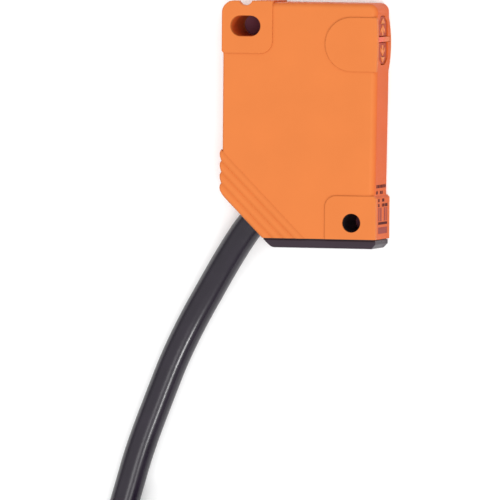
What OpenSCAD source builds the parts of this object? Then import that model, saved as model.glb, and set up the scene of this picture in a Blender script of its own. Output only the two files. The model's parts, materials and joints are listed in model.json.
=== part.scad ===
// Photoelectric sensor: a flat cuboid sensor that lies on its large face.
// X is its width, +Y its length away from the sensing face, +Z its thickness.
// The origin is under the middle of the sensor, on the surface it lies on.

/* [Body] */
// Width over the pads
total_w = 27.8; // [27.6:0.1:28.2]
// Length over the window
total_l = 42; // [41.8:0.1:42.4]
// Thickness over the pads
total_t = 9.2; // [9:0.1:9.6]
// Height of the raised pads above the body
pad_h = 0.3; // [0.2:0.05:0.4]
// Wall of the large faces
face_wall = 1; // [0.9:0.05:1.1]
// Wall of the narrow sides
side_wall = 1.2; // [1.1:0.05:1.3]
// Length of the black window, with its seal
window_l = 1.6; // [1.5:0.05:1.7]

/* [Mounting] */
// Radius of the screw hole
hole_r = 1.6; // [1.5:0.05:1.65]
// Place of the screw hole
hole_at = [9.55, -16.6];
// Middle of the slot
slot_at = [-9.45, 16.7];
// Width of the slot
slot_w = 3.5; // [3.2:0.1:3.6]
// Length of the slot from end to end
slot_l = 5.3; // [4.8:0.1:5.4]

/* [Ribs] */
// Number of ribs along the chamfer
rib_count = 4; // [3:1:4]
// Height of a rib above the face
rib_h = 0.25; // [0.15:0.05:0.3]

/* [Buttons] */
// Travel of a setting button
button_travel = 0.35; // [0.25:0.05:0.35]
// Width of a button across the narrow side
button_w = 5.4; // [5:0.1:5.4]

/* [Cable] */
// Diameter of the cable
cable_d = 5.1; // [5:0.05:5.1]
// Radius of the coil's outermost turn, at the middle of the cable
coil_r = 38.4; // [38:0.1:38.6]
// Distance between the turns of one layer
coil_pitch = 5.33; // [5.2:0.01:5.4]
// Diameter of an insulated core
core_d = 1.1; // [1:0.05:1.15]

/* [Hidden] */
$fn = 64;

orange = [0.95, 0.54, 0.29];
key_orange = [0.76, 0.38, 0.27];
black = [0.17, 0.15, 0.18];
board_green = [0.1, 0.36, 0.2];
steel = [0.72, 0.72, 0.74];

// Outline of the body
left = -13.45;
right = 13.75;
right_low = 13.5;
top = 20.75;
joint_y = -total_l / 2 + window_l;
chamfer_sum = -25.75; // x + y all along the chamfer
pad_x = total_w / 2;
flange_left = -13.65;
flange_right = -4.65;
flange_bottom = 12;
d_pad_at = [9.3, 13.8];
d_pad_r = 4.65;
corner_pad_left = 4.8;
corner_pad_top = -11.95;
notch_r = 1.3;
notch_y = 21.5;
notch_lip = 1.2; // thickness of the wall with the notch; the corner behind it is lower
notch_room_y = 19.8;

// Ribs: bands of equal width between the chamfer and the last edge
rib_sum = -18.15; // x + y along the upper edge of the first rib
rib_step = (rib_sum - chamfer_sum) / 4;
rib_left = -total_w / 2;
rib_fall = 0.85; // how far the crown falls towards the next rib, as a share of its height

// Inside
mid_z = total_t / 2;
in_low = pad_h + face_wall;
in_high = total_t - pad_h - face_wall;
in_left = left + side_wall;
in_right = right - 1.3;
in_top = top - side_wall;
gap = 0.05;
board_low = 3.2;
board_t = 0.8;
board_top = board_low + board_t;
bush_r = 2.2;
bush_skin = 0.35;

// Optics
lens_r = 2.1;
emitter_x = -0.5;
receiver_x = 4.5;
carrier_left = -3.3;
carrier_right = 12.3;
carrier_back = -12.2;
optics_board_t = 0.6;

// Buttons: the key faces stand a little below the pad around them
key_z = 5.1;
key_low = key_z - button_w / 2;
key_high = key_z + button_w / 2;
key_up = [15.3, 18.8];
key_down = [10.4, 14.05];
key_face = pad_x - 0.2;
key_end_w = 2; // width of a key at its pointed end
key_point = 1.1; // length over which it narrows
flange_x = [11.8, in_right - gap];
switch_front = 10.4;
stem_x = switch_front + button_travel + gap;
stem_z = board_top + 0.8;
stem_y_up = 17;
stem_y_down = 12.25;
guide_y = [14.2, 15.1];

// Cable: it leaves square to the chamfer, then lies on the surface
exit = [-8.9, -16.85, mid_z];
cable_r = cable_d / 2;
stub_l = 4.6;
grommet_r = 3.1;
grommet_l = 3.2;
collar = 0.35;
route = [[-8.9, -16.85, 4.6], [-10, -17.95, 4.6], [-11.7, -20.3, 4.35], [-13.2, -22.5, 3.9],
    [-14.7, -24.8, 3.5], [-17.2, -28.9, 2.95], [-19.6, -33, 2.65], [-21.8, -37.2, 2.55],
    [-23.7, -41.3, 2.55], [-25.4, -45.5, 2.55], [-27, -49.6, 2.55], [-28.6, -53.8, 2.55],
    [-30, -57.9, 2.55], [-31.2, -62, 2.55], [-32.4, -66.1, 2.55], [-33.6, -70.4, 2.55],
    [-34.9, -75, 2.55], [-36.2, -79.6, 2.55], [-37.5, -84.2, 2.55], [-38.8, -88.7, 2.55],
    [-40.3, -93.6, 2.55], [-41.7, -98.4, 2.55]];

// Coil: its turns run between two radii, one layer on another
coil_at = [-4.8, -109];
turns = 3;
layers = 3;
coil_r_in = coil_r - turns * coil_pitch;
coil_h = layers * cable_d;
tie_angle = 254;
tie_w = 4;
tie_t = 0.5;
tie_gap = 0.4;

// Tail: it lies on the coil and ends in the stripped cores
tail_from = 344;
tail_sweep = 139;
tail_r = coil_r_in;
core_sweep = 85;
core_r = core_d / 2;
core_apart = core_d + 0.12; // distance between cores where they leave the jacket
tip_share = 0.88; // where along a core its insulation ends

function arc(at, r, from, to, steps = 12) =
    [for (i = [0:steps]) let (a = from + (to - from) * i / steps) at + r * [cos(a), sin(a)]];

function unit(v) = v / norm(v);

function way(path, i) =
    unit(path[min(i + 1, len(path) - 1)] - path[max(i - 1, 0)]);

function around(at, angle, r, z) = [at[0] + r * cos(angle), at[1] + r * sin(angle), z];

// A tube along points that run mostly level
module tube(path, r, sides) {
    points = [for (i = [0:len(path) - 1])
        let (along = way(path, i), side = unit(cross(along, [0, 0, 1])), up = cross(side, along))
        for (k = [0:sides - 1])
            path[i] + r * (cos(360 * k / sides) * side + sin(360 * k / sides) * up)];
    last = (len(path) - 1) * sides;
    walls = [for (i = [0:len(path) - 2], k = [0:sides - 1])
        let (a = i * sides + k, b = i * sides + (k + 1) % sides)
        [a, b, b + sides, a + sides]];
    start_cap = [for (k = [sides - 1:-1:0]) k];
    end_cap = [for (k = [0:sides - 1]) last + k];
    polyhedron(points = points, faces = concat([start_cap], walls, [end_cap]), convexity = 8);
}

// A box between two opposite corners
module block(low, high) {
    translate(low) cube(high - low);
}

// Its local Z runs from the chamfer into the housing, along the cable
module along_cable(from = 0) {
    translate(exit) rotate([0, 0, 45]) rotate([0, 90, 0]) translate([0, 0, from]) children();
}

// Its local X and Y run along Y and Z, and its local Z along +X
module on_side(x) {
    multmatrix([[0, 0, 1, x], [1, 0, 0, 0], [0, 1, 0, 0]]) children();
}

module body_outline() {
    polygon(concat(
        [[left, chamfer_sum - left], [chamfer_sum - joint_y, joint_y], [right_low, joint_y],
            [right_low, corner_pad_top], [right, d_pad_at[1] - d_pad_r]],
        arc([right - 1, top - 1], 1, 0, 90),
        arc([left + 2, top - 2], 2, 90, 180)));
}

module flange_outline() {
    polygon(concat(
        [[flange_left, flange_bottom]],
        arc([flange_right - 2.2, flange_bottom + 2.2], 2.2, -90, 0),
        [[flange_right, total_l / 2]],
        arc([flange_left + 2.1, total_l / 2 - 2.1], 2.1, 90, 180)));
}

module d_pad_outline() {
    polygon(concat(
        [[pad_x, d_pad_at[1] - d_pad_r], [pad_x, d_pad_at[1] + d_pad_r]],
        arc(d_pad_at, d_pad_r, 90, 270, 32)));
}

module corner_pad_outline() {
    polygon(concat(
        [[corner_pad_left, joint_y]],
        [[pad_x - 0.15, joint_y], [pad_x - 0.15, corner_pad_top]],
        arc([corner_pad_left + 2, corner_pad_top - 2], 2, 90, 180)));
}

module rib_zone_outline() {
    polygon([[rib_left, rib_sum - rib_left - 0.6], [rib_left, chamfer_sum - rib_left + 0.4],
        [rib_left + 0.4, chamfer_sum - rib_left - 0.4], [chamfer_sum - joint_y, joint_y],
        [rib_sum - joint_y, joint_y], [left, rib_sum - left]]);
}

// Crowned bars that run along the chamfer through the whole thickness
module ribs() {
    width = rib_step / sqrt(2);
    low = pad_h - rib_h;
    crown = [for (i = [0:8]) let (t = i / 8 * 2 - 1)
        [width * (t + 1) / 2, rib_h * (1 - rib_fall * pow(t, 4))]];
    k = 1 / sqrt(2);
    start = [rib_sum + total_l / 2, -total_l / 2];
    intersection() {
        translate([0, 0, low]) linear_extrude(total_t - 2 * low) rib_zone_outline();
        union() for (i = [0:rib_count - 1])
            multmatrix([[-k, 0, -k, start[0] - i * rib_step / 2],
                    [-k, 0, k, start[1] - i * rib_step / 2], [0, 1, 0, 0]])
                translate([0, 0, -4])
                    linear_extrude(34)
                        polygon(concat(
                            [for (p = crown) [p[0], total_t - pad_h + p[1]]],
                            [for (j = [8:-1:0]) [crown[j][0], pad_h - crown[j][1]]]));
    }
}

module cavity() {
    in_chamfer = chamfer_sum + 2.2;
    translate([0, 0, in_low]) linear_extrude(in_high - in_low)
        polygon([[in_left, in_chamfer - in_left], [in_chamfer - joint_y + 1, joint_y - 1],
            [in_right, joint_y - 1], [in_right, in_top], [flange_right - 0.75, in_top],
            [flange_right - 0.75, flange_bottom + 0.6], [in_left, flange_bottom + 0.6]]);
}

module slot_cut() {
    reach = (slot_l - slot_w) / 2;
    translate([slot_at[0], slot_at[1], -1]) {
        for (side = [-1, 1]) translate([side * reach, 0, 0]) cylinder(d = slot_w, h = total_t + 2);
        translate([-reach, -slot_w / 2, 0]) cube([2 * reach, slot_w, total_t + 2]);
    }
}

// Outline of a key, y against z, pointed at the end that is further from the light guide
module key_outline(span, points_up, grow = 0) {
    end = points_up ? span[1] + grow : span[0] - grow;
    base = points_up ? span[0] - grow : span[1] + grow;
    shoulder = points_up ? end - key_point : end + key_point;
    half = key_end_w / 2 + grow;
    polygon([[base, key_low - grow], [shoulder, key_low - grow], [end, key_z - half],
        [end, key_z + half], [shoulder, key_high + grow], [base, key_high + grow]]);
}

module housing() {
    color(orange) difference() {
        union() {
            translate([0, 0, pad_h]) linear_extrude(total_t - 2 * pad_h) body_outline();
            linear_extrude(total_t) flange_outline();
            linear_extrude(total_t) d_pad_outline();
            linear_extrude(total_t) corner_pad_outline();
            ribs();
        }
        cavity();
        slot_cut();
        translate([slot_at[0], notch_y, -1]) cylinder(r = notch_r, h = total_t + 2);
        translate([-15, notch_room_y, -1])
            cube([15 + slot_at[0] + notch_r, 5, total_t - notch_lip + 1]);
        translate([hole_at[0], hole_at[1], -1]) cylinder(r = hole_r, h = total_t + 2);
        translate([hole_at[0], hole_at[1], bush_skin])
            cylinder(r = bush_r + gap, h = total_t - 2 * bush_skin);
        along_cable(-2) cylinder(r = grommet_r + gap, h = grommet_l + 4);
        on_side(in_right - 1) linear_extrude(4) {
            key_outline(key_up, true, 0.1);
            key_outline(key_down, false, 0.1);
        }
        block([in_right - 1, guide_y[0] - 0.2, key_low - 0.1],
            [pad_x + 1, guide_y[1] + 0.2, key_high + 0.1]);
        block([pad_x - 1, guide_y[0], 1.1], [pad_x + 1, guide_y[1], 8.1]);
    }
}

module mounting_bush() {
    color(black) translate([hole_at[0], hole_at[1], bush_skin]) difference() {
        cylinder(r = bush_r, h = total_t - 2 * bush_skin);
        translate([0, 0, -1]) cylinder(r = hole_r, h = total_t + 2);
    }
}

module window() {
    front = -total_l / 2;
    back = joint_y - 0.15;
    color(black) translate([0, 0, pad_h + 0.1]) linear_extrude(total_t - 2 * pad_h - 0.2)
        polygon([[chamfer_sum - back, back], [chamfer_sum - front, front], [13, front],
            [right - 0.05, front + 0.75], [right - 0.05, back]]);
}

module window_seal() {
    color([0.08, 0.08, 0.09]) translate([0, joint_y, 0]) rotate([90, 0, 0])
        linear_extrude(0.15) difference() {
            translate([-6.1, 0.6]) square([19.5, total_t - 1.2]);
            translate([carrier_left, in_low]) square([carrier_right - carrier_left, in_high - in_low]);
        }
}

module optics_carrier() {
    color([0.1, 0.1, 0.11]) difference() {
        block([carrier_left, joint_y, in_low], [carrier_right, carrier_back, in_high]);
        for (x = [emitter_x, receiver_x])
            translate([x, joint_y - 1, mid_z]) rotate([-90, 0, 0])
                cylinder(r = lens_r + gap, h = carrier_back - joint_y + 2);
        translate([hole_at[0], hole_at[1], 0]) cylinder(r = bush_r + gap, h = total_t);
    }
}

// A round plano-convex lens that faces the window
module lens(x) {
    dome_r = 3;
    sag = dome_r - sqrt(dome_r * dome_r - lens_r * lens_r);
    rim = 0.6;
    color([0.8, 0.85, 0.88, 0.6])
        translate([x, joint_y + 0.2 + sag + rim, mid_z]) rotate([90, 0, 0])
            rotate_extrude($fn = 64)
                polygon(concat([[0, 0], [lens_r, 0]],
                    [for (i = [0:12]) let (a = asin(lens_r / dome_r) * (1 - i / 12))
                        [dome_r * sin(a), rim + dome_r * cos(a) - dome_r + sag]]));
}

module emitter_lens() {
    lens(emitter_x);
}

module receiver_lens() {
    lens(receiver_x);
}

module emitter_led() {
    color([0.85, 0.2, 0.18]) {
        block([emitter_x - 1, carrier_back - 0.6, mid_z - 1], [emitter_x + 1, carrier_back, mid_z + 1]);
        translate([emitter_x, carrier_back - 0.6, mid_z]) rotate([90, 0, 0]) cylinder(r = 0.8, h = 0.5);
    }
}

module receiver_chip() {
    color([0.2, 0.18, 0.25])
        block([receiver_x - 1.2, carrier_back - 0.8, mid_z - 1.2],
            [receiver_x + 1.2, carrier_back, mid_z + 1.2]);
}

module optics_board() {
    color(board_green)
        block([carrier_left, carrier_back, 1.5], [6.9, carrier_back + optics_board_t, 7.7]);
}

module board_link() {
    color([0.12, 0.12, 0.12]) {
        block([-0.6, -11.1, board_top], [4.6, -9.5, board_top + 1.6]);
        for (i = [0:3])
            translate([0.1 + i * 1.27, carrier_back + optics_board_t, board_top + 0.8])
                rotate([-90, 0, 0]) cylinder(r = 0.25, h = 1);
    }
}

module main_board() {
    color(board_green) translate([0, 0, board_low]) linear_extrude(board_t)
        polygon([[-11.9, -11.2], [10.6, -11.2], [10.6, 19.3], [-5.1, 19.3], [-5.1, 12.2],
            [-11.9, 12.2]]);
}

module chip(at, size, tone = [0.11, 0.11, 0.12]) {
    color(tone) block([at[0] - size[0] / 2, at[1] - size[1] / 2, board_top],
        [at[0] + size[0] / 2, at[1] + size[1] / 2, board_top + size[2]]);
}

module signal_processor() {
    chip([-8, 0], [5, 5, 0.9]);
}

module shield_can() {
    color(steel) difference() {
        block([-2.4, -8.8, board_top], [6.4, -2, board_top + 2.8]);
        block([-2.2, -8.6, board_top - 1], [6.2, -2.2, board_top + 2.6]);
    }
}

module output_transistor() {
    chip([-8, 8], [6.5, 3.5, 1.6]);
}

module protection_diode() {
    chip([-8.4, -5.6], [4.3, 2.6, 2.2]);
}

module power_inductor() {
    color([0.3, 0.28, 0.27]) translate([0.5, 3, board_top]) cylinder(r = 2.5, h = 2.6);
}

module capacitor_bank() {
    for (i = [0:2]) chip([5.4, 1.2 + i * 2.6], [3.2, 1.6, 1.6], [0.8, 0.6, 0.2]);
}

module resistor_row() {
    for (i = [0:7]) chip([-2.5 + 1.5 * (i % 4), 12 + 3 * floor(i / 4)], [0.8, 1.6, 0.45]);
}

module status_led(y, tone) {
    color(tone) block([9.6, y - 0.33, board_top], [10.6, y + 0.33, board_top + 0.7]);
}

module status_led_green() {
    status_led(14.2, [0.4, 0.85, 0.4]);
}

module status_led_yellow() {
    status_led(15.05, [0.95, 0.8, 0.25]);
}

module light_guide() {
    color([0.94, 0.47, 0.38]) {
        block([pad_x - 1, guide_y[0], 1.1], [pad_x, guide_y[1], 8.1]);
        block([10.9, guide_y[0] + 0.15, board_top + 0.1], [pad_x - 1, guide_y[1] - 0.15, board_top + 1.5]);
    }
}

// An arrow on a key, y against z: a head and a shaft
module arrow(tip, back) {
    head = tip - sign(tip - back) * 1.2;
    polygon([[tip, key_z], [head, key_z + 1.2], [head, key_z + 0.45], [back, key_z + 0.45],
        [back, key_z - 0.45], [head, key_z - 0.45], [head, key_z - 1.2]]);
}

// A key, the flange that holds it behind the wall and the stem that pushes its switch
module button(span, points_up, stem_y) {
    flange = points_up ? [span[0], span[1] + 0.5] : [span[0] - 0.7, span[1]];
    color(key_orange) {
        on_side(flange_x[1]) linear_extrude(key_face - flange_x[1]) key_outline(span, points_up);
        block([flange_x[0], flange[0], 1.5], [flange_x[1], flange[1], key_high]);
        translate([stem_x, stem_y, stem_z]) rotate([0, 90, 0])
            cylinder(r = 0.65, h = flange_x[0] - stem_x);
    }
    color(orange) on_side(key_face) linear_extrude(0.15)
        arrow(points_up ? span[1] - 0.35 : span[0] + 0.35, points_up ? span[0] + 0.3 : span[1] - 0.3);
}

module button_up() {
    button(key_up, true, stem_y_up);
}

module button_down() {
    button(key_down, false, stem_y_down);
}

module button_seal() {
    color([0.25, 0.25, 0.27]) difference() {
        block([11, 9.8, 1.5], [11.3, 19.2, 7.7]);
        for (y = [stem_y_up, stem_y_down])
            translate([10, y, stem_z]) rotate([0, 90, 0]) cylinder(r = 0.8, h = 2);
        block([10, guide_y[0], board_top], [12, guide_y[1], board_top + 1.6]);
    }
}

module side_switch(y) {
    color(steel) difference() {
        block([7.2, y - 1.5, board_top], [switch_front, y + 1.5, board_top + 1.6]);
        translate([9.4, y, stem_z]) rotate([0, 90, 0]) cylinder(r = 0.7, h = 2);
    }
}

module switch_up() {
    side_switch(stem_y_up);
}

module switch_down() {
    side_switch(stem_y_down);
}

module plunger(y) {
    depth = 0.5; // how far it reaches into the switch
    color([0.15, 0.15, 0.15]) translate([switch_front - depth, y, stem_z]) rotate([0, 90, 0])
        cylinder(r = 0.6, h = stem_x - switch_front + depth);
}

module plunger_up() {
    plunger(stem_y_up);
}

module plunger_down() {
    plunger(stem_y_down);
}

module cable_grommet() {
    color(black) along_cable(-collar) difference() {
        cylinder(r = grommet_r, h = grommet_l + collar);
        translate([0, 0, -1]) cylinder(r = cable_r, h = grommet_l + 3);
    }
}

module cable_crimp() {
    color(steel) along_cable(grommet_l + 0.1) difference() {
        cylinder(r = cable_r + 0.4, h = 1.1);
        translate([0, 0, -1]) cylinder(r = cable_r, h = 4);
    }
}

module cable_stub() {
    color(black) along_cable() cylinder(r = cable_r, h = stub_l);
}

// A core inside the housing, from the cable's end over the board's edge to its pad
module inner_core(i, tone) {
    end = exit + stub_l * [1, 1, 0] / sqrt(2);
    start = end + i * core_apart * [1, -1, 0];
    pad = [-5.4 + i * 1.35, -8.6, board_top + core_r + 0.03];
    color(tone) tube([start, start + [0.15, 0.8, 0.3], [pad[0], -11, board_top + 1.2],
        pad - [0, 1, -0.2], pad], core_r, 8);
}

module inner_core_brown() {
    inner_core(-1, [0.4, 0.22, 0.12]);
}

module inner_core_blue() {
    inner_core(0, [0.12, 0.25, 0.6]);
}

module inner_core_black() {
    inner_core(1, [0.08, 0.08, 0.08]);
}

module cable() {
    color(black) tube(route, cable_r, 12);
}

module cable_coil() {
    low = coil_r_in - cable_r;
    high = coil_r + cable_r;
    round = 1.2;
    color(black) difference() {
        translate([coil_at[0], coil_at[1], 0]) rotate_extrude($fn = 96)
            polygon([[low + round, 0], [high - round, 0], [high, round], [high, coil_h - round],
                [high - round, coil_h], [low + round, coil_h], [low, coil_h - round], [low, round]]);
        translate([coil_at[0], coil_at[1], 0]) rotate([0, 0, tie_angle])
            translate([low - 2, -tie_w / 2 - 0.2, -1]) cube([high - low + 4, tie_w + 0.4, 1 + tie_t]);
    }
}

module cable_tail() {
    z = coil_h + cable_r - 0.1;
    color(black) tube([for (i = [0:10])
        around(coil_at, tail_from + tail_sweep * i / 10, tail_r + 2 * i / 10, z)], cable_r, 12);
}

module coil_tie() {
    low = coil_r_in - cable_r - tie_gap - tie_t;
    high = coil_r + cable_r + tie_gap + tie_t;
    color([0.9, 0.9, 0.88]) translate([coil_at[0], coil_at[1], 0]) rotate([0, 0, tie_angle])
        difference() {
            translate([low, -tie_w / 2, 0]) cube([high - low, tie_w, coil_h + tie_t]);
            translate([low + tie_t, -tie_w, tie_t])
                cube([high - low - 2 * tie_t, 2 * tie_w, coil_h - tie_t]);
        }
}

// Where core i is, from the cut jacket at t = 0 to its end at t = 1
function core_point(i, t) =
    let (ease = t * t * (3 - 2 * t), fall = min(1, 3 * t), low = fall * fall * (3 - 2 * fall))
    around(coil_at, tail_from + tail_sweep + (core_sweep + 7 * i) * t,
        tail_r + 2 + i * (core_apart + 3.2 * ease),
        coil_h + core_r + 0.02 + (cable_r - core_r) * (1 - low));

module core(i, tone) {
    color(tone) tube([for (k = [0:14]) core_point(i, tip_share * k / 14)], core_r, 8);
}

module core_brown() {
    core(-1, [0.4, 0.22, 0.12]);
}

module core_blue() {
    core(0, [0.12, 0.25, 0.6]);
}

module core_black() {
    core(1, [0.08, 0.08, 0.08]);
}

module core_tips() {
    color(steel) for (i = [-1:1])
        tube([for (k = [0:3]) core_point(i, tip_share + (1 - tip_share) * k / 3)], core_r * 0.6, 8);
}

housing();
mounting_bush();
window();
window_seal();
optics_carrier();
emitter_lens();
receiver_lens();
emitter_led();
receiver_chip();
optics_board();
board_link();
main_board();
signal_processor();
shield_can();
output_transistor();
protection_diode();
power_inductor();
capacitor_bank();
resistor_row();
status_led_green();
status_led_yellow();
light_guide();
button_up();
button_down();
button_seal();
switch_up();
switch_down();
plunger_up();
plunger_down();
cable_grommet();
cable_crimp();
cable_stub();
inner_core_brown();
inner_core_blue();
inner_core_black();
cable();
cable_coil();
cable_tail();
coil_tie();
core_brown();
core_blue();
core_black();
core_tips();
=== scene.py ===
"""Flat photoelectric sensor: orange housing, black window, two setting keys and a coiled cable.

Lengths in the making are in millimetres, in the frame's own axes, and turn into metres at the end.
"""

import json
from math import cos, hypot, pi, radians, sin

import bpy
from mathutils import Matrix, Vector


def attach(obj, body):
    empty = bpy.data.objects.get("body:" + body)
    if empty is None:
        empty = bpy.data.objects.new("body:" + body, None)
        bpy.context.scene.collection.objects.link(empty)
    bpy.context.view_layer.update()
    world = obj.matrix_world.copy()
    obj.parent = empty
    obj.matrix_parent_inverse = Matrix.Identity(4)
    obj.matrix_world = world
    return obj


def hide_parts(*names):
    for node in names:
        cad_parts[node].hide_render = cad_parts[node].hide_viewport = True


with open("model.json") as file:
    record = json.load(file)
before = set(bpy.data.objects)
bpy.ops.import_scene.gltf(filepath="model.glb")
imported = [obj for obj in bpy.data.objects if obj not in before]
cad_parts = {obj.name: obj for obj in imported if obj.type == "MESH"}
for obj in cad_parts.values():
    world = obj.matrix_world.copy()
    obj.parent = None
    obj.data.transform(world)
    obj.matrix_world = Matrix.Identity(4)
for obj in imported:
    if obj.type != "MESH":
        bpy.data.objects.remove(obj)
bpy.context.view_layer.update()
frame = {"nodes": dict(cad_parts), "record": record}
scene = bpy.context.scene
scene.view_settings.view_transform = "Standard"
MM = 0.001
THICK = 9.2
MID_Z = THICK / 2


# ---------------------------------------------------------------- camera

def make_camera():
    """A long lens over the large face, tilted towards the narrow side with the keys."""
    tilt, lift, roll = radians(16), radians(2.5), radians(0.45)
    aim_right, aim_up = -10.67, -21.70
    back = Vector((sin(tilt) * cos(lift), sin(lift), cos(tilt) * cos(lift)))
    level = Vector((cos(tilt), 0, -sin(tilt)))
    rise = back.cross(level)
    right = level * cos(roll) + rise * sin(roll)
    up = rise * cos(roll) - level * sin(roll)
    data = bpy.data.cameras.new("camera")
    data.lens, data.sensor_width = 1000, 36
    data.clip_end = 100
    field = 85.47 * MM
    camera = bpy.data.objects.new("camera", data)
    place = (right * aim_right + up * aim_up) * MM + back * (field * data.lens / data.sensor_width)
    axes = Matrix((right, up, back)).transposed().to_4x4()
    camera.matrix_world = Matrix.Translation(place) @ axes
    scene.collection.objects.link(camera)
    scene.camera = camera


make_camera()


# ---------------------------------------------------------------- materials

def linear(red, green, blue):
    """An sRGB colour in 0 to 255 as Blender's linear colour."""
    parts = [c / 255 for c in (red, green, blue)]
    return tuple(c / 12.92 if c <= 0.04045 else ((c + 0.055) / 1.055) ** 2.4 for c in parts) + (1,)


def scaled(colour, share):
    return tuple(c * share for c in colour[:3]) + (1,)


class Nodes:
    """Short calls for building one material's node tree."""

    def __init__(self, name):
        self.material = bpy.data.materials.new(name)
        self.material.use_nodes = True
        self.tree = self.material.node_tree
        self.shader = self.tree.nodes["Principled BSDF"]
        self.place = self.add("ShaderNodeTexCoord").outputs["Object"]

    def add(self, kind, **settings):
        node = self.tree.nodes.new(kind)
        for key, value in settings.items():
            setattr(node, key, value)
        return node

    def put(self, socket, value):
        if isinstance(value, bpy.types.NodeSocket):
            self.tree.links.new(value, socket)
        else:
            socket.default_value = value

    def height(self):
        node = self.add("ShaderNodeSeparateXYZ")
        self.put(node.inputs["Vector"], self.place)
        return node.outputs["Z"]

    def stretched(self, scale):
        node = self.add("ShaderNodeMapping")
        self.put(node.inputs["Vector"], self.place)
        self.put(node.inputs["Scale"], scale)
        return node.outputs["Vector"]

    def noise(self, size_mm, detail=2.0, vector=None):
        node = self.add("ShaderNodeTexNoise")
        self.put(node.inputs["Vector"], vector or self.place)
        self.put(node.inputs["Scale"], 1 / (size_mm * MM))
        self.put(node.inputs["Detail"], detail)
        return node.outputs["Fac"]

    def spread(self, value, low, high, start=0.3, end=0.7):
        node = self.add("ShaderNodeMapRange")
        self.put(node.inputs["Value"], value)
        for key, number in (("From Min", start), ("From Max", end), ("To Min", low), ("To Max", high)):
            self.put(node.inputs[key], number)
        return node.outputs["Result"]

    def mix(self, share, first, second):
        colour_a, colour_b, colour_out = 6, 7, 2  # the colour sockets of a Mix node
        node = self.add("ShaderNodeMix", data_type="RGBA")
        self.put(node.inputs["Factor"], share)
        self.put(node.inputs[colour_a], first)
        self.put(node.inputs[colour_b], second)
        return node.outputs[colour_out]

    def bump(self, height, depth_mm, under=None):
        node = self.add("ShaderNodeBump")
        self.put(node.inputs["Height"], height)
        self.put(node.inputs["Distance"], depth_mm * MM)
        self.put(node.inputs["Strength"], 1.0)
        if under is not None:
            self.put(node.inputs["Normal"], under)
        return node.outputs["Normal"]

    def finish(self, colour, roughness, normal=None, **shader):
        self.put(self.shader.inputs["Base Color"], colour)
        self.put(self.shader.inputs["Roughness"], roughness)
        if normal is not None:
            self.put(self.shader.inputs["Normal"], normal)
        for key, value in shader.items():
            self.put(self.shader.inputs[key.replace("_", " ")], value)
        return self.material


def moulded(name, colour, roughness, grain_mm=0.25, depth_mm=0.004, mottle=0.03, **shader):
    """Moulded plastic or rubber: fine spark-eroded grain, and colour that varies a little."""
    n = Nodes(name)
    cloud = n.spread(n.noise(7, 3), 0, 1)
    tint = n.mix(cloud, scaled(colour, 1 - mottle), scaled(colour, 1 + mottle))
    grain = n.noise(grain_mm, 3)
    rough = n.spread(grain, roughness - 0.04, roughness + 0.04)
    return n.finish(tint, rough, n.bump(grain, depth_mm), **shader)


def brushed(name, colour, roughness):
    """Drawn or rolled metal, with streaks along X."""
    n = Nodes(name)
    streak = n.noise(0.1, 2, n.stretched((0.15, 1, 1)))
    tint = n.mix(streak, scaled(colour, 0.9), scaled(colour, 1.05))
    return n.finish(tint, n.spread(streak, roughness - 0.06, roughness + 0.08),
                    n.bump(streak, 0.002), Metallic=1.0)


def circuit_board():
    n = Nodes("board_green")
    cloud = n.spread(n.noise(3, 3), 0, 1)
    weave = n.noise(0.4, 1, n.stretched((1, 1, 0.2)))
    tint = n.mix(cloud, linear(18, 84, 46), linear(24, 98, 54))
    return n.finish(tint, n.spread(weave, 0.28, 0.4), n.bump(weave, 0.004))


def jacket():
    """The cable's jacket: satin black, with two sizes of fine grain."""
    n = Nodes("jacket_black")
    cloud = n.spread(n.noise(5, 3), 0, 1)
    tint = n.mix(cloud, linear(24, 18, 29), linear(31, 24, 36))
    grain = n.noise(0.35, 3)
    fine = n.noise(0.12, 2)
    rough = n.spread(grain, 0.2, 0.26)
    return n.finish(tint, rough, n.bump(fine, 0.0005, n.bump(grain, 0.002)), Specular_IOR_Level=0.36)


def housing_plastic():
    """Orange polyamide, with painted shade: darker and redder towards the middle plane, so on the narrow
    sides, the rims and the walls of the openings.
    """
    full_shade, no_shade = 3.3, 4.25  # distances from the middle plane
    n = Nodes("housing_orange")
    centred = n.add("ShaderNodeMath", operation="SUBTRACT")
    n.put(centred.inputs[0], n.height())
    n.put(centred.inputs[1], MID_Z * MM)
    depth = n.add("ShaderNodeMath", operation="ABSOLUTE")
    n.put(depth.inputs[0], centred.outputs[0])
    flat = n.spread(depth.outputs[0], 0, 1, full_shade * MM, no_shade * MM)
    cloud = n.spread(n.noise(7, 3), 0, 1)
    face = n.mix(cloud, scaled(ORANGE, 0.98), scaled(ORANGE, 1.02))
    # painted shade: a darker, redder copy of the orange, mixed in towards the middle plane
    side = n.mix(cloud, scaled(ORANGE_SIDE_SHADE, 0.97), scaled(ORANGE_SIDE_SHADE, 1.03))
    grain = n.noise(0.22, 3)
    rough = n.spread(grain, 0.4, 0.5)
    return n.finish(n.mix(flat, side, face), rough, n.bump(grain, 0.003), Specular_IOR_Level=0.05)


def guide_plastic():
    """Cloudy light pipe over two status lamps, one towards each of its ends."""
    lamp_low, lamp_high = 2.4, 7
    n = Nodes("guide_cloudy")
    along = n.spread(n.height(), 0, 1, lamp_low * MM, lamp_high * MM)
    tint = n.mix(along, linear(201, 101, 44), linear(210, 84, 62))
    grain = n.noise(0.2, 2)
    return n.finish(tint, n.spread(grain, 0.25, 0.35), n.bump(grain, 0.003), Specular_IOR_Level=0.06)


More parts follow.
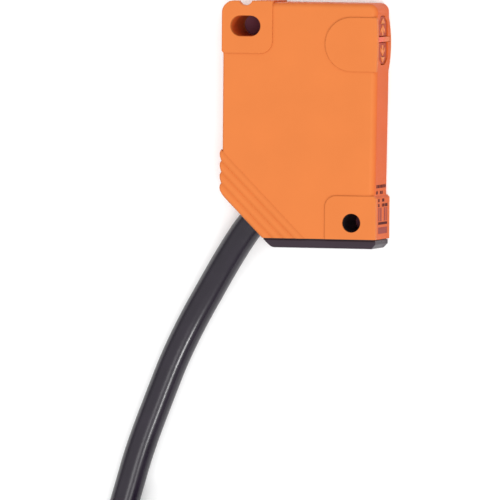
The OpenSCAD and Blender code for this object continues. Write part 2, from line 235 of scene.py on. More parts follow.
ORANGE = linear(199, 112, 58)
# painted shade: the orange darkened and reddened for the narrow sides and rims, where less light falls
ORANGE_SIDE_SHADE = linear(196, 88, 38)
MATERIALS = {
    "housing_plastic": housing_plastic(),
    "window_plastic": moulded("window_black", linear(56, 47, 54), 0.3, 2.5, 0.004,
                              Specular_IOR_Level=0.04),
    "black_plastic": moulded("plastic_black", linear(34, 30, 35), 0.45),
    # the keys' dark red is partly their own rubber colour and partly painted shade from the gaps round
    # them
    "key_rubber": moulded("key_red_and_shade", linear(160, 62, 36), 0.55, 0.2, 0.006, Specular_IOR_Level=0.13),
    "seal_rubber": moulded("rubber_dark", linear(30, 30, 32), 0.7, 0.2, 0.006),
    "light_pipe": guide_plastic(),
    "lens_plastic": moulded("lens_clear", linear(214, 222, 228), 0.08, 3, 0.001, 0.01),
    "board": circuit_board(),
    "chip_plastic": moulded("chip_epoxy", linear(34, 34, 36), 0.5, 0.08, 0.003),
    "tin": brushed("tin_plate", linear(198, 198, 202), 0.3),
    "tantalum": moulded("tantalum_case", linear(208, 164, 62), 0.4, 0.1, 0.002),
    "led_red": moulded("lamp_red", linear(214, 60, 52), 0.2, 0.5, 0.001),
    "led_green": moulded("lamp_green", linear(120, 214, 120), 0.2, 0.5, 0.001),
    "led_yellow": moulded("lamp_yellow", linear(240, 206, 84), 0.2, 0.5, 0.001),
    "cable_jacket": jacket(),
    "core_brown": moulded("core_brown_pvc", linear(106, 62, 36), 0.35, 0.3, 0.002),
    "core_blue": moulded("core_blue_pvc", linear(38, 72, 160), 0.35, 0.3, 0.002),
    "core_black": moulded("core_black_pvc", linear(26, 26, 27), 0.35, 0.3, 0.002),
    "tie_plastic": moulded("tie_nylon", linear(226, 226, 220), 0.4, 0.4, 0.003),
}
ARROW = moulded("arrow_orange", linear(206, 116, 62), 0.5, 0.2, 0.003, Specular_IOR_Level=0.13)
INK = moulded("ink_dark", linear(74, 14, 12), 0.5, 0.15, 0.002, Specular_IOR_Level=0.03)
INK_PALE = moulded("ink_pale", linear(140, 60, 52), 0.5, 0.15, 0.002, Specular_IOR_Level=0.05)

for part in frame["record"]["subparts"]:
    mesh = frame["nodes"][part["node"]].data
    mesh.materials.clear()
    mesh.materials.append(MATERIALS[part["material_slot"]])


# ---------------------------------------------------------------- pieces

def join(name, obj, body, slot, replaced=(), material=None):
    """Gives a finished piece its name, its body and the material of its slot."""
    obj.name = name
    obj.data.name = name
    obj.data.materials.clear()
    obj.data.materials.append(material or MATERIALS[slot])
    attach(obj, body)
    if replaced:
        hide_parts(*replaced)
    return obj


def tubes(name, lines, radius, sides=16):
    """Round cords along lines of points in millimetres, as one piece."""
    curve = bpy.data.curves.new(name, "CURVE")
    curve.dimensions = "3D"
    for line in lines:
        spline = curve.splines.new("POLY")
        spline.points.add(len(line) - 1)
        for point, at in zip(spline.points, line):
            point.co = (at[0] * MM, at[1] * MM, at[2] * MM, 1)
        spline.use_smooth = True
    curve.bevel_depth = radius * MM
    curve.bevel_resolution = sides // 4
    curve.use_fill_caps = True
    obj = bpy.data.objects.new(name, curve)
    scene.collection.objects.link(obj)
    return obj


def catmull(points, steps):
    """Points on one smooth curve through the given points."""
    ends = [points[0]] + list(points) + [points[-1]]
    found = []
    for a, b, c, d in zip(ends, ends[1:], ends[2:], ends[3:]):
        for k in range(steps):
            t = k / steps
            found.append(tuple(
                0.5 * (2 * q + (r - p) * t + (2 * p - 5 * q + 4 * r - s) * t * t
                       + (3 * q - p - 3 * r + s) * t ** 3)
                for p, q, r, s in zip(a, b, c, d)))
    return found + [tuple(points[-1])]


def eased(t):
    return t * t * (3 - 2 * t)


# ---------------------------------------------------------------- cable

CABLE_R = 2.55
CABLE_EXIT = (-8.9, -16.85, MID_Z)
ROUTE = [CABLE_EXIT, (-10, -17.95, MID_Z), (-11.7, -20.3, 4.35), (-13.2, -22.5, 3.9),
         (-14.7, -24.8, 3.5), (-17.2, -28.9, 2.95), (-19.6, -33, 2.65), (-21.8, -37.2, CABLE_R),
         (-23.7, -41.3, CABLE_R), (-25.4, -45.5, CABLE_R), (-27, -49.6, CABLE_R),
         (-28.6, -53.8, CABLE_R), (-30, -57.9, CABLE_R), (-31.2, -62, CABLE_R),
         (-32.4, -66.1, CABLE_R), (-33.6, -70.4, CABLE_R), (-34.9, -75, CABLE_R),
         (-36.2, -79.6, CABLE_R), (-37.5, -84.2, CABLE_R), (-38.8, -88.7, CABLE_R),
         (-40.3, -93.6, CABLE_R)]
COIL_AT = (-4.8, -109)
COIL_OUT, COIL_PITCH, COIL_TURNS, COIL_LAYERS = 38.4, 5.33, 3, 3
COIL_IN = COIL_OUT - COIL_TURNS * COIL_PITCH
COIL_H = COIL_LAYERS * 2 * CABLE_R
COIL_START = 164
RISE = 60  # degrees over which the cable climbs to the next layer
TAIL_SWEEP, TAIL_R = 139, COIL_IN + 2
TIE_ANGLE, TIE_T, TIE_W = 254, 0.5, 4


def on_coil(angle, radius, z):
    a = radians(angle)
    return (COIL_AT[0] + radius * cos(a), COIL_AT[1] + radius * sin(a), z)


def tie_lift(angle):
    """The turns rise over the tie's strap, which passes under them."""
    reach = 40  # degrees to either side of the strap
    off = abs((angle - TIE_ANGLE + 180) % 360 - 180)
    return TIE_T * (0.5 + 0.5 * cos(pi * min(off / reach, 1)))


def cable_points():
    """The cable's line, and the angle on the coil where its jacket ends."""
    step_angle = 5  # degrees of the coil between two points
    points = catmull(ROUTE + [on_coil(COIL_START, COIL_OUT, CABLE_R)], 5)[:-1]
    angle = COIL_START
    lift = 2 * CABLE_R
    legs = []
    for layer in range(COIL_LAYERS):
        start, end = (COIL_OUT, COIL_IN) if layer % 2 == 0 else (COIL_IN, COIL_OUT)
        legs.append((360 * COIL_TURNS, start, end, layer * lift, layer * lift))
        legs.append((RISE, end, end, layer * lift, (layer + 1) * lift))
    top = COIL_LAYERS * lift
    legs.append((TAIL_SWEEP, COIL_IN, TAIL_R, top, top))
    for sweep, r0, r1, z0, z1 in legs:
        steps = round(sweep / step_angle)
        for k in range(steps):
            t = k / steps
            at = angle + sweep * t
            z = CABLE_R + z0 + (z1 - z0) * eased(t) + tie_lift(at)
            points.append(on_coil(at, r0 + (r1 - r0) * t, z))
        angle += sweep
    points.append(on_coil(angle, TAIL_R, CABLE_R + top))
    return points, angle


cable_line, tail_end = cable_points()
cable = join("cable_jacket", tubes("cable_jacket", [cable_line], CABLE_R), "body", "cable_jacket",
             ("cable", "cable_coil", "cable_tail"))

CORE_R, CORE_APART = 0.55, 1.22
CORE_SWEEP = 85  # degrees of the coil that the stripped cores follow
TIP_SHARE = 0.88
WIRE_R = CORE_R * 0.22


def core_point(i, t):
    """Where core i is, from the cut jacket at t = 0 to its end at t = 1."""
    spread, clear = 3.2, 0.02
    sunk = eased(min(1, 3 * t))
    return on_coil(tail_end + (CORE_SWEEP + 7 * i) * t, TAIL_R + i * (CORE_APART + spread * eased(t)),
                   COIL_H + CORE_R + clear + (CABLE_R - CORE_R) * (1 - sunk))


def strands(i):
    """Seven tinned wires, six of them twisted round the seventh."""
    outer, steps = 6, 24
    overlap, ahead = 0.02, 0.01
    lines = []
    for k in range(outer + 1):
        line = []
        for j in range(steps + 1):
            t = TIP_SHARE - overlap + (1 + overlap - TIP_SHARE) * j / steps
            at = Vector(core_point(i, t))
            along = (Vector(core_point(i, t + ahead)) - at).normalized()
            side = along.cross(Vector((0, 0, 1))).normalized()
            up = side.cross(along)
            turn = 2 * pi * (k / outer + j / steps)
            off = 0 if k == outer else 2 * WIRE_R
            line.append(at + (side * cos(turn) + up * sin(turn)) * off)
        lines.append(line)
    return lines


def make_leads():
    """The three stripped cores and their tinned ends."""
    found, tips, steps = [], [], 40
    for i, tone in ((-1, "brown"), (0, "blue"), (1, "black")):
        name = "lead_" + tone
        line = [core_point(i, TIP_SHARE * k / steps) for k in range(steps + 1)]
        core = tubes(name, [line], CORE_R, 12)
        found.append(join(name, core, "body", "core_" + tone, ("core_" + tone,)))
        tips += strands(i)
    found.append(join("lead_tips", tubes("lead_tips", tips, WIRE_R, 8), "body", "tin", ("core_tips",)))
    return found


leads = make_leads()


# ---------------------------------------------------------------- mesh tools

def solid(name, verts, faces):
    mesh = bpy.data.meshes.new(name)
    mesh.from_pydata(verts, [], faces)
    obj = bpy.data.objects.new(name, mesh)
    scene.collection.objects.link(obj)
    return obj


def loft(name, loops):
    """A closed solid from equal loops of points, with a flat cap at each end."""
    count = len(loops[0])
    verts = [p for loop in loops for p in loop]
    faces = [tuple(reversed(range(count)))]
    for k in range(len(loops) - 1):
        for i in range(count):
            a, b = k * count + i, k * count + (i + 1) % count
            faces.append((a, b, b + count, a + count))
    faces.append(tuple(range((len(loops) - 1) * count, len(loops) * count)))
    return solid(name, verts, faces)


def arc(x, y, r, start, end, steps=10):
    return [(x + r * cos(radians(a)), y + r * sin(radians(a)))
            for a in (start + (end - start) * k / steps for k in range(steps + 1))]


def offset(outline, amounts):
    """The outline, counter-clockwise, moved inwards by an amount at each of its points."""
    count = len(outline)
    found = []
    for i, (x, y) in enumerate(outline):
        normals = []
        for a, b in ((outline[i - 1], outline[i]), (outline[i], outline[(i + 1) % count])):
            dx, dy = b[0] - a[0], b[1] - a[1]
            size = hypot(dx, dy)
            normals.append((-dy / size, dx / size))
        (ax, ay), (bx, by) = normals
        share = amounts[i] / (1 + ax * bx + ay * by)
        found.append((x + (ax + bx) * share, y + (ay + by) * share))
    return found


def plate(name, outline, low, high, fillet, steps=6, fillet_low=None):
    """A flat piece with rounded rims. A fillet is one radius, or one for each point."""
    if fillet_low is None:
        fillet_low = fillet
    tops, lows = (r if isinstance(r, list) else [r] * len(outline) for r in (fillet, fillet_low))
    loops = []
    for k in range(steps + 1):
        a = pi / 2 * k / steps
        flat = offset(outline, [r * (1 - sin(a)) for r in lows])
        loops.append([(x, y, low + r * (1 - cos(a))) for (x, y), r in zip(flat, lows)])
    for k in range(steps + 1):
        a = pi / 2 * k / steps
        flat = offset(outline, [r * (1 - cos(a)) for r in tops])
        loops.append([(x, y, high - r * (1 - sin(a))) for (x, y), r in zip(flat, tops)])
    return loft(name, loops)


def shaft(name, outline, low, high, rim, steps=4):
    """A cutter for a through hole whose two rims come out rounded."""
    loops = []

    def ring(out, z):
        loops.append([(x, y, z) for x, y in offset(outline, [-out] * len(outline))])

    ring(rim, low - 1)
    for k in range(steps + 1):
        a = pi / 2 * (1 - k / steps)
        ring(rim * (1 - cos(a)), low + rim * (1 - sin(a)))
    for k in range(steps + 1):
        a = pi / 2 * k / steps
        ring(rim * (1 - cos(a)), high - rim * (1 - sin(a)))
    ring(rim, high + 1)
    return loft(name, loops)


def prism(name, outline, low, high):
    return loft(name, [[(x, y, low) for x, y in outline], [(x, y, high) for x, y in outline]])


def rectangle(x0, x1, y0, y1):
    return [(x0, y0), (x1, y0), (x1, y1), (x0, y1)]


def box(name, low, high):
    return prism(name, rectangle(low[0], high[0], low[1], high[1]), low[2], high[2])


def moved(obj, matrix):
    obj.data.transform(matrix)
    return obj


SIDEWAYS = Matrix(((0, 0, 1, 0), (1, 0, 0, 0), (0, 1, 0, 0), (0, 0, 0, 1)))  # local X, Y, Z to Y, Z, X


def boolean(target, tool, operation):
    modifier = target.modifiers.new("boolean", "BOOLEAN")
    modifier.operation, modifier.solver, modifier.object = operation, "EXACT", tool
    graph = bpy.context.evaluated_depsgraph_get()
    graph.update()
    made = bpy.data.meshes.new_from_object(target.evaluated_get(graph))
    target.modifiers.clear()
    old, target.data = target.data, made
    bpy.data.meshes.remove(old)
    gone = tool.data
    bpy.data.objects.remove(tool)
    bpy.data.meshes.remove(gone)


def add(target, *tools):
    for tool in tools:
        boolean(target, tool, "UNION")
    return target


def cut(target, *tools):
    for tool in tools:
        boolean(target, tool, "DIFFERENCE")
    return target


def polished(obj, angle=33):
    """From millimetres to metres, with smooth fillets beside flat faces."""
    obj.data.transform(Matrix.Scale(MM, 4))
    obj.data.shade_smooth()
    obj.data.set_sharp_from_angle(angle=radians(angle))
    modifier = obj.modifiers.new("shading", "WEIGHTED_NORMAL")
    modifier.keep_sharp = True
    modifier.weight = 80
    return obj


def united(name, pieces):
    """Several meshes as one object, without merging them."""
    base = pieces[0]
    mesh = bpy.data.meshes.new(name)
    verts, faces = [], []
    for piece in pieces:
        start = len(verts)
        verts += [tuple(v.co) for v in piece.data.vertices]
        faces += [tuple(start + i for i in f.vertices) for f in piece.data.polygons]
    mesh.from_pydata(verts, [], faces)
    for piece in pieces[1:]:
        bpy.data.objects.remove(piece)
    base.data = mesh
    return base


# ---------------------------------------------------------------- housing

LEFT, RIGHT, RIGHT_LOW = -13.45, 13.75, 13.5
TOP, FRONT, JOINT_Y = 20.75, -21, -19.4
BEND_LOW, BEND_HIGH = -11.95, 9.15  # between them the right side leans from RIGHT_LOW out to RIGHT
CHAMFER = -25.75  # x + y along the chamfer
PAD_X, PAD_H, PAD_RIM = 13.9, 0.3, 0.22
SLOT, SLOT_W, SLOT_L = (-9.45, 16.7), 3.5, 5.3
NOTCH, NOTCH_R = (SLOT[0], 21.5), 1.3
HOLE, HOLE_R, BUSH_R = (9.55, -16.6), 1.6, 2.25
GROMMET_R = 3.1
KEY_Z = 5.1
KEY_UP, KEY_DOWN = (15.17, 18.6), (10.4, 14.13)
KEY_HALF, KEY_END, KEY_POINT = 2.7, 1.0, 1.1
GUIDE = (14.2, 15.1)
RIB_SUM, RIB_STEP, RIB_H = -18.15, 1.9, 0.3


def body_plate():
    """The body's outline, with the radius of its rim at each point."""
    rim_left, rim_top, rim_right = 0.35, 0.9, 1.05
    round_right, round_left, steps = 1.5, 2, 12
    behind = 0.15  # how far the chamfer lies behind the ribs
    line = [(LEFT, CHAMFER - LEFT + behind, rim_left), (CHAMFER - FRONT + behind, FRONT, rim_left),
            (RIGHT_LOW, FRONT, rim_right), (RIGHT_LOW, BEND_LOW, rim_right),
            (RIGHT, BEND_HIGH, rim_right)]
    corner = arc(RIGHT - round_right, TOP - round_right, round_right, 0, 90, steps)
    line += [(x, y, rim_right + (rim_top - rim_right) * k / steps) for k, (x, y) in enumerate(corner)]
    corner = arc(LEFT + round_left, TOP - round_left, round_left, 90, 180, steps)
    line += [(x, y, rim_top + (rim_left - rim_top) * k / steps) for k, (x, y) in enumerate(corner)]
    flat, rims = [p[:2] for p in line], [p[2] for p in line]
    return plate("housing_body", flat, PAD_H, THICK - PAD_H, rims, 8)


def flange():
    """The full-height block round the slot, in the top left corner."""
    left, right, low, top = -13.65, -4.65, 12, 21
    bevel, round_low, round_top = 0.35, 2.2, 2.1
    line = [(left, low + bevel), (left + bevel, low)]
    line += arc(right - round_low, low + round_low, round_low, -90, 0)
    line += [(right, top)]
    line += arc(left + round_top, top - round_top, round_top, 90, 180, 14)
    return plate("flange", line, 0, THICK, 0.2)


def round_pad():
    """A D-shaped pad whose straight side swells a little beyond the narrow side."""
    x, y, r = 9.3, 13.8, 4.65
    rim = 0.3
    swell, rims = [], []
    for k in range(13):
        t = k / 6 - 1
        swell.append((RIGHT - 0.03 + 0.2 * (1 - t * t), y + r * t))
        rims.append(rim + t * t)  # the far rim fades into the body's at both ends
    curve = arc(x, y, r, 90, 270, 40)
    rims += [rim] * len(curve)
    return plate("round_pad", swell + curve, 0, THICK, PAD_RIM, fillet_low=rims)


def corner_pad():
    """The pad round the screw hole."""
    left, right, top = 4.8, RIGHT + 0.1, BEND_LOW
    bevel, r = 0.4, 2
    line = [(left, FRONT), (right, FRONT), (right, top - bevel), (right - bevel, top)]
    line += arc(left + r, top - r, r, 90, 180)
    return plate("corner_pad", line, 0, THICK, PAD_RIM)


def ribs():
    """Crowned bars beside the chamfer. Each slice across them is a loop of the block."""
    across = []  # (x + y, height of the crown, how far it stands out at the left end)
    bars, steps = 4, 12
    inner_y = -20.4  # where every bar ends, beyond the joint
    rim, stand, swell, furthest = 0.4, 0.22, 0.23, -13.9
    roll, fall = 0.55, 0.35  # the outermost crown rolls over onto the chamfer
    quarter = [pi / 2 * k / 5 for k in range(6)]
    for i in range(bars):
        for k in range(steps + (i == bars - 1)):
            t = 2 * k / steps - 1
            crown = 1 - t * t
            across.append((RIB_SUM - RIB_STEP * (i + k / steps), RIB_H * (0.12 + 0.88 * crown), crown))
    loops = []
    last = CHAMFER
    for total, height, out in across:
        near = min(1.0, (total - last) / roll)
        drop = (1 - (1 - (1 - near) ** 2) ** 0.5) * fall
        left = max(LEFT - stand - swell * out, furthest + 0.5 * (1 - near))
        top = THICK - PAD_H + height - drop
        low = PAD_H - height + drop
        right = total - inner_y
        profile = [(right, low)]
        profile += [(left + rim * (1 - sin(a)), low + rim * (1 - cos(a))) for a in quarter]
        profile += [(left + rim * (1 - cos(a)), top - rim * (1 - sin(a))) for a in quarter]
        profile += [(right, top)]
        loops.append([(x, total - x, z) for x, z in profile])
    return loft("ribs", loops)


def stadium(at, width, length, grow=0.0, steps=14):
    r = width / 2 + grow
    reach = (length - width) / 2
    return (arc(at[0] + reach, at[1], r, -90, 90, steps) + arc(at[0] - reach, at[1], r, 90, 270, steps))


def circle(at, r, steps=48):
    return arc(at[0], at[1], r, 0, 360 - 360 / steps, steps - 1)


def key_outline(span, points_up, grow=0.0):
    """A key in Y against Z, counter-clockwise, pointed away from the light guide."""
    tip, base = (span[1], span[0]) if points_up else (span[0], span[1])
    way = 1 if points_up else -1
    tip, base = tip + way * grow, base - way * grow
    shoulder = tip - way * KEY_POINT
    half, end = KEY_HALF + grow, KEY_END + grow * 0.6
    line = [(base, -half), (shoulder, -half), (tip, -end), (tip, end), (shoulder, half), (base, half)]
    line = [(y, KEY_Z + z) for y, z in line]
    return line if points_up else line[::-1]


def softened(outline, r, steps=4):
    """An outline with each of its corners rounded to about radius r."""
    count = len(outline)
    found = []
    for i in range(count):
        before, at, after = (Vector(outline[j % count]) for j in (i - 1, i, i + 1))
        start = at + (before - at).normalized() * r
        end = at + (after - at).normalized() * r
        for k in range(steps + 1):
            t = k / steps
            found.append(tuple(start * (1 - t) ** 2 + at * 2 * t * (1 - t) + end * t * t))
    return found


def side_cut(name, outline, bottom, surface, rim):
    """A pocket in the narrow side, rounded at its mouth."""
    loops = [[(y, z, bottom) for y, z in outline]]
    for k in range(5):
        a = pi / 2 * k / 4
        ring = offset(outline, [-rim * (1 - cos(a))] * len(outline))
        loops.append([(y, z, surface - rim * (1 - sin(a))) for y, z in ring])
    ring = offset(outline, [-rim] * len(outline))
    loops.append([(y, z, surface + 1) for y, z in ring])
    return moved(loft(name, loops), SIDEWAYS)


def turned(name, profile):
    """A ring turned from a closed profile of (radius, height) points, counter-clockwise."""
    steps, count = 64, len(profile)
    verts, faces = [], []
    for k in range(steps):
        a = 2 * pi * k / steps
        verts += [(r * cos(a), r * sin(a), z) for r, z in profile]
    for k in range(steps):
        for i in range(count):
            a, b = k * count + i, k * count + (i + 1) % count
            c, d = (k + 1) % steps * count + (i + 1) % count, (k + 1) % steps * count + i
            faces.append((a, d, c, b))
    return solid(name, verts, faces)


def along_cable(start):
    """From local Z to the cable's way into the housing."""
    way = Vector((1, 1, 0)).normalized()
    return (Matrix.Translation(Vector(CABLE_EXIT) + way * start)
            @ way.to_track_quat("Z", "Y").to_matrix().to_4x4())


def make_housing():
    """The body, flange, pads and ribs as one shell, with all its openings cut."""
    housing = add(body_plate(), flange(), round_pad(), corner_pad(), ribs())
    in_left, in_right, in_top, in_low, in_high = LEFT + 1.2, 12.45, TOP - 1.2, 1.3, 7.9
    chamfer = CHAMFER + 2.2
    step_x, step_y = -5.4, 12.6  # the room goes round the flange
    room = [(in_left, chamfer - in_left), (chamfer - FRONT, FRONT), (in_right, FRONT),
            (in_right, in_top), (step_x, in_top), (step_x, step_y), (in_left, step_y)]
    far, under, outside = 30, -5, 15
    key_room, mouth = 11.5, 0.12
    lip_y, lip_right, lip_z = 19.8, -8.15, 8  # the corner behind the notch is lower than the rest
    guide_end = 2.8
    cut(housing,
        box("beyond_joint", (-far, -far, under), (far, JOINT_Y, outside)),
        prism("cavity", room, in_low, in_high),
        shaft("slot", stadium(SLOT, SLOT_W, SLOT_L), 0, THICK, 0.15),
        shaft("notch", circle(NOTCH, NOTCH_R), 0, THICK, 0.12),
        box("behind_notch", (-15, lip_y, under), (lip_right, 25, lip_z)),
        shaft("hole", circle(HOLE, HOLE_R), 0, THICK, 0.1),
        prism("bush_seat", circle(HOLE, BUSH_R), 0.35, THICK - 0.35),
        moved(prism("cable_hole", circle((0, 0), GROMMET_R + 0.05), -4, 5.2), along_cable(0)),
        side_cut("up_opening", softened(key_outline(KEY_UP, True, 0.1), 0.25), key_room, PAD_X, mouth),
        side_cut("down_opening", softened(key_outline(KEY_DOWN, False, 0.1), 0.25), key_room, PAD_X,
                 mouth),
        box("guide_room", (key_room, GUIDE[0] - 0.05, KEY_Z - guide_end),
            (outside, GUIDE[1] + 0.05, KEY_Z + guide_end)),
        box("guide_seat", (12.85, GUIDE[0] - 0.01, 1.05), (outside, GUIDE[1] + 0.01, 8.15)))
    return join("housing_shell", polished(housing), "body", "housing_plastic", ("housing",))


make_housing()


# ---------------------------------------------------------------- window, grommet, keys

def make_window():
    """The dark front, beyond the joint, with a rounded corner at the chamfer."""
    back, right, rim, r = JOINT_Y - 0.15, RIGHT - 0.05, 0.35, 1.45
    line = [(CHAMFER - back, back, rim), (CHAMFER - FRONT - 0.85, FRONT + 0.85, 0.3)]
    line += [(x, y, rim) for x, y in arc(CHAMFER - FRONT + 0.62, FRONT + r, r, -135, -90, 6)]
    line += [(13, FRONT, rim), (right, FRONT + 0.75, 0.3), (right, back, rim)]
    piece = plate("window", [p[:2] for p in line], 0.4, THICK - 0.4, [p[2] for p in line], 6)
    join("window_pane", polished(piece, 40), "body", "window_plastic", ("window",))


def make_grommet():
    """A bush round the cable, with a rounded lip outside the housing."""
    mouth, inner, lip = -0.35, 3.2, 0.2
    profile = [(CABLE_R, mouth + 0.05), (CABLE_R + 0.1, mouth)]
    for k in range(6):
        a = pi / 2 * k / 5
        profile.append((GROMMET_R - lip * (1 - sin(a)), mouth + lip * (1 - cos(a))))
    profile += [(GROMMET_R, inner), (CABLE_R, inner)]
    piece = moved(turned("grommet", profile), along_cable(0))
    join("cable_bushing", polished(piece, 45), "body", "black_plastic", ("cable_grommet",))


def arrow_parts(span, points_up):
    """A head, a chevron behind it and a shaft, in Y against Z."""
    way = 1 if points_up else -1
    tip = span[1] - 0.3 if points_up else span[0] + 0.3
    shapes = [
        [(0, 0), (-1.0, -1.25), (-1.0, 1.25)],
        [(-1.12, 0.15), (-2.0, -1.3), (-2.6, -1.3), (-1.72, 0.15)],
        [(-1.12, -0.15), (-2.0, 1.3), (-2.6, 1.3), (-1.72, -0.15)],
        [(-1.75, -0.4), (-1.75, 0.4), (-3.0, 0.4), (-3.0, -0.4)],
    ]
    found = []
    for shape in shapes:
        line = [(tip + way * y, KEY_Z + z) for y, z in shape]
        area = sum(a[0] * b[1] - b[0] * a[1] for a, b in zip(line, line[1:] + line[:1]))
        found.append(line if area > 0 else line[::-1])
    return found


def make_key(name, span, points_up, stem_y, body, node):
    """A key's cap, lip and stem, and the arrow on its cap."""
    back, face = 12.3, PAD_X - 0.2
    lip = (span[0], span[1] + 0.5) if points_up else (span[0] - 0.7, span[1])
    cap = softened(key_outline(span, points_up), 0.25)
    parts = [plate("key", cap, back, face, 0.18, 4, fillet_low=0.03),
             plate("lip", rectangle(*lip, 1.5, 7.8), back - 0.5, back + 0.08, 0.08, 2),
             plate("stem", circle((stem_y, 4.8), 0.65, 24), 10.8, 11.9, 0.1, 3)]
    parts = [moved(part, SIDEWAYS) for part in parts]
    join(name, polished(united(name, parts), 40), body, "key_rubber", (node,))
    marks = []
    for i, line in enumerate(arrow_parts(span, points_up)):
        low, high = face - 0.1 - 0.01 * i, face + 0.14 - 0.02 * i  # stepped, so that no two are flush
        marks.append(moved(plate("mark", softened(line, 0.08, 2), low, high, 0.05, 2), SIDEWAYS))
    arrow = name + "_arrow"
    join(arrow, polished(united(arrow, marks), 40), body, "key_rubber", material=ARROW)


def make_guide():
    """The status light's bar, and the foot that brings it light from the board."""
    low, high = GUIDE
    bar = softened(rectangle(low, high, 1.1, 8.1), 0.3)
    foot = rectangle(low + 0.15, high - 0.15, 4.1, 5.5)
    parts = [moved(plate("bar", bar, 12.9, PAD_X, 0.12, 4), SIDEWAYS),
             moved(plate("foot", foot, 10.9, 13.0, 0.08, 2), SIDEWAYS)]
    piece = polished(united("status_guide", parts), 40)
    join("status_guide", piece, "body", "light_pipe", ("light_guide",))


def make_marks():
    """A generic printed panel on the narrow side: dashes, lead lines, a bar and a block."""
    def mark(y0, y1, z0, z1):
        lean = (y1 - BEND_LOW) / (BEND_HIGH - BEND_LOW)
        x = RIGHT + 0.1 if y1 < -12 else RIGHT_LOW + lean * (RIGHT - RIGHT_LOW)
        return box("mark", (x - 0.05, y0, z0), (x + 0.012, y1, z1))

    half = 0.27
    rows = ((-10.4, ((1.6, 2.5), (2.75, 3.3), (3.5, 4.6), (4.8, 5.5), (5.7, 6.6), (6.8, 7.5))),
            (-11.45, ((3.4, 4.0), (4.2, 5.1), (6.6, 7.5))),
            (-12.75, ((3.6, 5.0), (6.6, 7.5))),
            (-13.6, ((1.6, 3.1), (3.4, 4.4), (4.6, 5.1), (6.6, 7.5))))
    dark = [mark(y - half, y + half, a, b) for y, dashes in rows for a, b in dashes]
    dark += [mark(-16.9, -16.45, 1.7, 7.4)]
    pale = [mark(-16.3, -14.0, a, a + w) for a, w in ((1.8, 0.5), (2.8, 1.0), (5.3, 0.9), (6.6, 0.8))]
    pale += [mark(-18.45, -17.35, 1.7, 7.4)]
    for name, pieces, ink in (("side_marks_dark", dark, INK), ("side_marks_pale", pale, INK_PALE)):
        piece = united(name, pieces)
        piece.data.transform(Matrix.Scale(MM, 4))
        join(name, piece, "body", "black_plastic", material=ink)


make_window()
make_grommet()
make_key("key_up_cap", KEY_UP, True, 17, "key_up", "button_up")
make_key("key_down_cap", KEY_DOWN, False, 12.25, "key_down", "button_down")
make_guide()
make_marks()


# ---------------------------------------------------------------- coil tie

def make_tie():
    """A strap round the coil, its head and its loose end, built on the coil's X axis."""
    low, high = COIL_IN - CABLE_R - 0.5, COIL_OUT + CABLE_R + 0.5
    top = COIL_H + TIE_T + 0.02
    corner = 1.6
    line = []
    for (r, z), start in (((high - corner, corner), -90), ((high - corner, top - corner), 0),
                          ((low + corner, top - corner), 90), ((low + corner, corner), 180)):
        line += arc(r, z, corner, start, start + 90, 6)
    half, wide = TIE_T / 2, TIE_W / 2
    flat, edge = half - 0.1, wide - 0.15  # where the strap's bevels begin
    loops = []
    for grow, side in ((-half, -edge), (-flat, -wide), (flat, -wide), (half, -edge),
                       (half, edge), (flat, wide), (-flat, wide), (-half, edge)):
        loops.append([(r, side, z + half) for r, z in offset(line, [-grow] * len(line))])
    rings, count = len(loops), len(line)
    faces = [(k * count + i, k * count + (i + 1) % count,
              (k + 1) % rings * count + (i + 1) % count, (k + 1) % rings * count + i)
             for k in range(rings) for i in range(count)]
    strap = solid("strap", [p for loop in loops for p in loop], faces)
    head = plate("head", softened(rectangle(high - 0.1, high + 3.2, -2.9, 2.9), 0.7),
                 6.4, 11.2, 0.35, 4)
    loose = plate("loose", softened(rectangle(high + 1.0, high + 1.5, -1.9, 1.9), 0.12),
                  11.0, 17.4, 0.1, 2)
    piece = united("tie", [strap, head, loose])
    turn = Matrix.Translation((*COIL_AT, 0)) @ Matrix.Rotation(radians(TIE_ANGLE), 4, "Z")
    return join("cable_tie", polished(moved(piece, turn), 40), "body", "tie_plastic", ("coil_tie",))


tie = make_tie()


# ---------------------------------------------------------------- stage

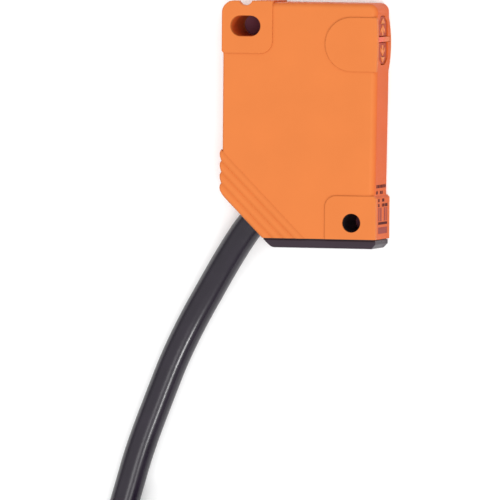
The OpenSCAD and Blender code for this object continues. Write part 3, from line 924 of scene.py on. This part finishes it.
def make_floor():
    reach, z = 60, -0.00002  # metres
    corners = [(-reach, -reach, z), (reach, -reach, z), (reach, reach, z), (-reach, reach, z)]
    obj = solid("floor", corners, [(0, 1, 2, 3)])
    n = Nodes("floor_pale")
    tint = n.mix(n.noise(400, 2), linear(248, 248, 248), linear(250, 250, 250))
    obj.data.materials.append(n.finish(tint, 0.9))


def make_shade_card():
    """A dark card on the floor, under the sensor alone: painted shade, so that its hole and slot look
    into the dark.
    """
    left, right, front, back = -13.2, -5.1, 12.4, 19.9  # under the slot
    low, high = -0.01, 0.002
    obj = box("card", (left, front, low), (right, back, high))
    hole = prism("card_hole", circle(HOLE, 2.4, 24), low, high)
    united("card", [obj, hole])
    obj.data.transform(Matrix.Scale(MM, 4))
    # painted shade: a dark sheet under the slot and the hole, standing in for their shadow
    obj.data.materials.append(moulded("card_painted_shade", linear(120, 64, 82), 0.8, 1, 0.001))


def make_light(name, way, distance, size, watts):
    data = bpy.data.lights.new(name, "AREA")
    data.shape, data.size, data.energy = "DISK", size, watts
    obj = bpy.data.objects.new(name, data)
    way = Vector(way).normalized()
    obj.matrix_world = (Matrix.Translation(way * distance)
                        @ way.to_track_quat("Z", "Y").to_matrix().to_4x4())
    obj.visible_camera = False
    scene.collection.objects.link(obj)


def make_world():
    """Soft light from all round, strongest from above."""
    world = bpy.data.worlds.new("studio")
    world.use_nodes = True
    nodes, links = world.node_tree.nodes, world.node_tree.links
    sky = nodes["Background"]
    sky.inputs["Color"].default_value = (1, 1, 1, 1)
    split = nodes.new("ShaderNodeSeparateXYZ")
    links.new(nodes.new("ShaderNodeTexCoord").outputs["Generated"], split.inputs[0])
    fade = nodes.new("ShaderNodeMapRange")
    links.new(split.outputs["Z"], fade.inputs["Value"])
    for key, number in (("From Min", 0.1), ("From Max", 0.6), ("To Min", 0.3), ("To Max", 1.25)):
        fade.inputs[key].default_value = number
    links.new(fade.outputs["Result"], sky.inputs["Strength"])
    scene.world = world


make_world()
make_floor()
make_shade_card()
make_light("softbox", (0.3, -0.1, 0.95), 1.5, 0.6, 7)
make_light("gleam", (0.6, -0.5, 0.63), 1.5, 0.16, 6)
